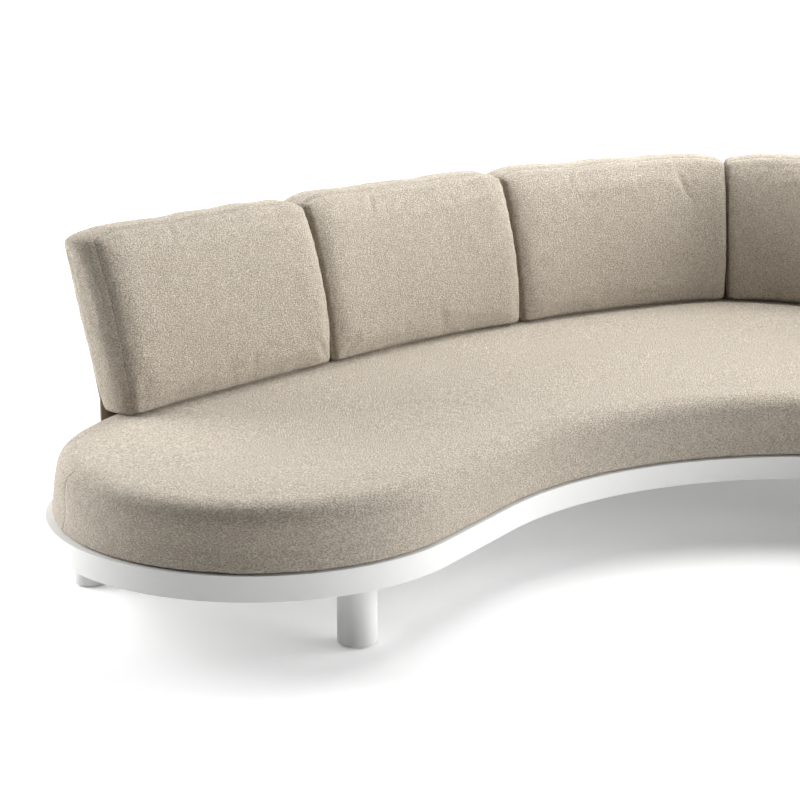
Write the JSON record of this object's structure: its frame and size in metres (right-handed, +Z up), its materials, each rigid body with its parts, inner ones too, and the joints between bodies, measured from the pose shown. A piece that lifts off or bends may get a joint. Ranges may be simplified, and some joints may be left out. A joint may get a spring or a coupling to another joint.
{
  "type": "lounge sofa",
  "caption": "Curved lounge sofa: kidney-shaped seat cushion, leaning loose back cushions on bent shells, and a white rim base on round legs.",
  "frame": {"origin": "on the floor, at the centre of the sofa's overall width and depth", "axes": "+X to the right of someone who faces the sofa, across its plane of symmetry; +Y to its back; +Z up"},
  "size_m": [3.8198, 2.4, 0.8303],
  "materials": {
    "fabric": "woven melange, beige",
    "white_powder_coat": "fine matt powder coat",
    "taupe_powder_coat": "fine matt powder coat",
    "steel": "zinc plated",
    "foot_plastic": "moulded"
  },
  "bodies": {
    "base": {"rim_band": "white_powder_coat", "centre_beam": "white_powder_coat", "leg_screws": "steel", "rail_bolts": "steel", "shell_bolts": "steel", "deck_left": "white_powder_coat", "middle_beam_left": "white_powder_coat", "outer_beam_left": "white_powder_coat", "front_leg_left": "white_powder_coat", "side_leg_left": "white_powder_coat", "middle_leg_left": "white_powder_coat", "outer_back_leg_left": "white_powder_coat", "inner_back_leg_left": "white_powder_coat", "inner_back_shell_left": "taupe_powder_coat", "middle_back_shell_left": "taupe_powder_coat", "outer_back_shell_left": "taupe_powder_coat", "inner_shell_rail_left": "taupe_powder_coat", "middle_shell_rail_left": "taupe_powder_coat", "outer_shell_rail_left": "taupe_powder_coat", "deck_right": "white_powder_coat", "middle_beam_right": "white_powder_coat", "outer_beam_right": "white_powder_coat", "front_leg_right": "white_powder_coat", "side_leg_right": "white_powder_coat", "middle_leg_right": "white_powder_coat", "outer_back_leg_right": "white_powder_coat", "inner_back_leg_right": "white_powder_coat", "inner_back_shell_right": "taupe_powder_coat", "middle_back_shell_right": "taupe_powder_coat", "outer_back_shell_right": "taupe_powder_coat", "inner_shell_rail_right": "taupe_powder_coat", "middle_shell_rail_right": "taupe_powder_coat", "outer_shell_rail_right": "taupe_powder_coat"},
    "seat_cushion": {"seat_cushion": "fabric"},
    "inner_back_cushion_left": {"inner_back_cushion_left": "fabric"},
    "middle_back_cushion_left": {"middle_back_cushion_left": "fabric"},
    "outer_back_cushion_left": {"outer_back_cushion_left": "fabric"},
    "front_foot_left": {"front_foot_left": "foot_plastic"},
    "side_foot_left": {"side_foot_left": "foot_plastic"},
    "middle_foot_left": {"middle_foot_left": "foot_plastic"},
    "outer_back_foot_left": {"outer_back_foot_left": "foot_plastic"},
    "inner_back_foot_left": {"inner_back_foot_left": "foot_plastic"},
    "inner_back_cushion_right": {"inner_back_cushion_right": "fabric"},
    "middle_back_cushion_right": {"middle_back_cushion_right": "fabric"},
    "outer_back_cushion_right": {"outer_back_cushion_right": "fabric"},
    "front_foot_right": {"front_foot_right": "foot_plastic"},
    "side_foot_right": {"side_foot_right": "foot_plastic"},
    "middle_foot_right": {"middle_foot_right": "foot_plastic"},
    "outer_back_foot_right": {"outer_back_foot_right": "foot_plastic"},
    "inner_back_foot_right": {"inner_back_foot_right": "foot_plastic"}
  },
  "joints": [
    {"name": "seat_cushion_lift", "type": "slide", "parent": "base", "child": "seat_cushion", "axis": [0, 0, 1], "range_m": [0, 0.55]},
    {"name": "inner_back_cushion_left_lift", "type": "slide", "parent": "seat_cushion", "child": "inner_back_cushion_left", "axis": [0, 0, 1], "range_m": [0, 0.5]},
    {"name": "middle_back_cushion_left_lift", "type": "slide", "parent": "seat_cushion", "child": "middle_back_cushion_left", "axis": [0, 0, 1], "range_m": [0, 0.5]},
    {"name": "outer_back_cushion_left_lift", "type": "slide", "parent": "seat_cushion", "child": "outer_back_cushion_left", "axis": [0, 0, 1], "range_m": [0, 0.5]},
    {"name": "front_foot_left_levelling", "type": "slide", "parent": "base", "child": "front_foot_left", "axis": [0, 0, -1], "range_m": [0, 0.012]},
    {"name": "side_foot_left_levelling", "type": "slide", "parent": "base", "child": "side_foot_left", "axis": [0, 0, -1], "range_m": [0, 0.012]},
    {"name": "middle_foot_left_levelling", "type": "slide", "parent": "base", "child": "middle_foot_left", "axis": [0, 0, -1], "range_m": [0, 0.012]},
    {"name": "outer_back_foot_left_levelling", "type": "slide", "parent": "base", "child": "outer_back_foot_left", "axis": [0, 0, -1], "range_m": [0, 0.012]},
    {"name": "inner_back_foot_left_levelling", "type": "slide", "parent": "base", "child": "inner_back_foot_left", "axis": [0, 0, -1], "range_m": [0, 0.012]},
    {"name": "inner_back_cushion_right_lift", "type": "slide", "parent": "seat_cushion", "child": "inner_back_cushion_right", "axis": [0, 0, 1], "range_m": [0, 0.5]},
    {"name": "middle_back_cushion_right_lift", "type": "slide", "parent": "seat_cushion", "child": "middle_back_cushion_right", "axis": [0, 0, 1], "range_m": [0, 0.5]},
    {"name": "outer_back_cushion_right_lift", "type": "slide", "parent": "seat_cushion", "child": "outer_back_cushion_right", "axis": [0, 0, 1], "range_m": [0, 0.5]},
    {"name": "front_foot_right_levelling", "type": "slide", "parent": "base", "child": "front_foot_right", "axis": [0, 0, -1], "range_m": [0, 0.012]},
    {"name": "side_foot_right_levelling", "type": "slide", "parent": "base", "child": "side_foot_right", "axis": [0, 0, -1], "range_m": [0, 0.012]},
    {"name": "middle_foot_right_levelling", "type": "slide", "parent": "base", "child": "middle_foot_right", "axis": [0, 0, -1], "range_m": [0, 0.012]},
    {"name": "outer_back_foot_right_levelling", "type": "slide", "parent": "base", "child": "outer_back_foot_right", "axis": [0, 0, -1], "range_m": [0, 0.012]},
    {"name": "inner_back_foot_right_levelling", "type": "slide", "parent": "base", "child": "inner_back_foot_right", "axis": [0, 0, -1], "range_m": [0, 0.012]}
  ]
}
